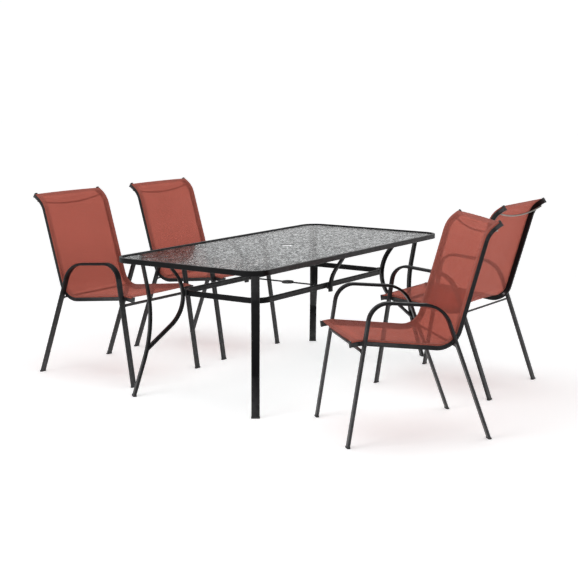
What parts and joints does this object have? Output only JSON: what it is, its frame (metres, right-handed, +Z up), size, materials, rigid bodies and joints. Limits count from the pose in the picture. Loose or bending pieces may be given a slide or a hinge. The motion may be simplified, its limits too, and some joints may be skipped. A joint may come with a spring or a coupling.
{
  "type": "patio dining set",
  "caption": "Patio dining set: rectangular table with textured glass top and umbrella hole, bowed tube legs, and stacking armchairs with red mesh slings.",
  "frame": {"origin": "on the floor, on the axis of the table's umbrella hole", "axes": "+Z up, X along the table's long side, Y across the table; the two chairs that stand together are on +Y"},
  "size_m": [1.9096, 2.67, 0.9723],
  "materials": {
    "table_frame": "charcoal black powder coat, satin",
    "table_glass": "pebbled tempered glass",
    "chair_frame": "charcoal black powder coat, satin",
    "bare_rod": "dull zinc-plated rod",
    "sling_mesh": "terracotta red woven mesh, slightly see-through",
    "plastic_black": "matte black moulded plastic",
    "fasteners": "zinc-plated steel"
  },
  "bodies": {
    "table": {"glass_top": "table_glass", "rim_side_rails": "table_frame", "rim_end_rails": "table_frame", "rim_connectors": "table_frame", "corner_plates": "table_frame", "lower_ring": "table_frame", "ring_spacers": "plastic_black", "umbrella_bar": "table_frame", "table_feet": "plastic_black", "table_bolts": "fasteners", "mid_strut_back": "table_frame", "mid_strut_front": "table_frame", "leg_back_right": "table_frame", "brace_back_right": "table_frame", "leg_front_right": "table_frame", "brace_front_right": "table_frame", "leg_back_left": "table_frame", "brace_back_left": "table_frame", "leg_front_left": "table_frame", "brace_front_left": "table_frame"},
    "chair_1": {"chair_1_right_leg_loop": "chair_frame", "chair_1_left_leg_loop": "chair_frame", "chair_1_right_side_rail": "chair_frame", "chair_1_left_side_rail": "chair_frame", "chair_1_crossbars": "chair_frame", "chair_1_back_spreader": "bare_rod", "chair_1_sling": "sling_mesh", "chair_1_sling_splines": "plastic_black", "chair_1_end_plugs": "plastic_black", "chair_1_bolts": "fasteners"},
    "chair_2": {"chair_2_right_leg_loop": "chair_frame", "chair_2_left_leg_loop": "chair_frame", "chair_2_right_side_rail": "chair_frame", "chair_2_left_side_rail": "chair_frame", "chair_2_crossbars": "chair_frame", "chair_2_back_spreader": "bare_rod", "chair_2_sling": "sling_mesh", "chair_2_sling_splines": "plastic_black", "chair_2_end_plugs": "plastic_black", "chair_2_bolts": "fasteners"},
    "chair_3": {"chair_3_right_leg_loop": "chair_frame", "chair_3_left_leg_loop": "chair_frame", "chair_3_right_side_rail": "chair_frame", "chair_3_left_side_rail": "chair_frame", "chair_3_crossbars": "chair_frame", "chair_3_back_spreader": "bare_rod", "chair_3_sling": "sling_mesh", "chair_3_sling_splines": "plastic_black", "chair_3_end_plugs": "plastic_black", "chair_3_bolts": "fasteners"},
    "chair_4": {"chair_4_right_leg_loop": "chair_frame", "chair_4_left_leg_loop": "chair_frame", "chair_4_right_side_rail": "chair_frame", "chair_4_left_side_rail": "chair_frame", "chair_4_crossbars": "chair_frame", "chair_4_back_spreader": "bare_rod", "chair_4_sling": "sling_mesh", "chair_4_sling_splines": "plastic_black", "chair_4_end_plugs": "plastic_black", "chair_4_bolts": "fasteners"}
  },
  "joints": [
    {"name": "chair_1_slide", "type": "slide", "parent": "table", "child": "chair_1", "axis": [0, 1, 0], "range_m": [-0.15, 0.45]},
    {"name": "chair_2_slide", "type": "slide", "parent": "table", "child": "chair_2", "axis": [0, 1, 0], "range_m": [-0.15, 0.45]},
    {"name": "chair_3_slide", "type": "slide", "parent": "table", "child": "chair_3", "axis": [0.7385, -0.6743, 0], "range_m": [-0.1, 0.2]},
    {"name": "chair_4_slide", "type": "slide", "parent": "table", "child": "chair_4", "axis": [0, -1, 0], "range_m": [-0.15, 0.45]}
  ]
}
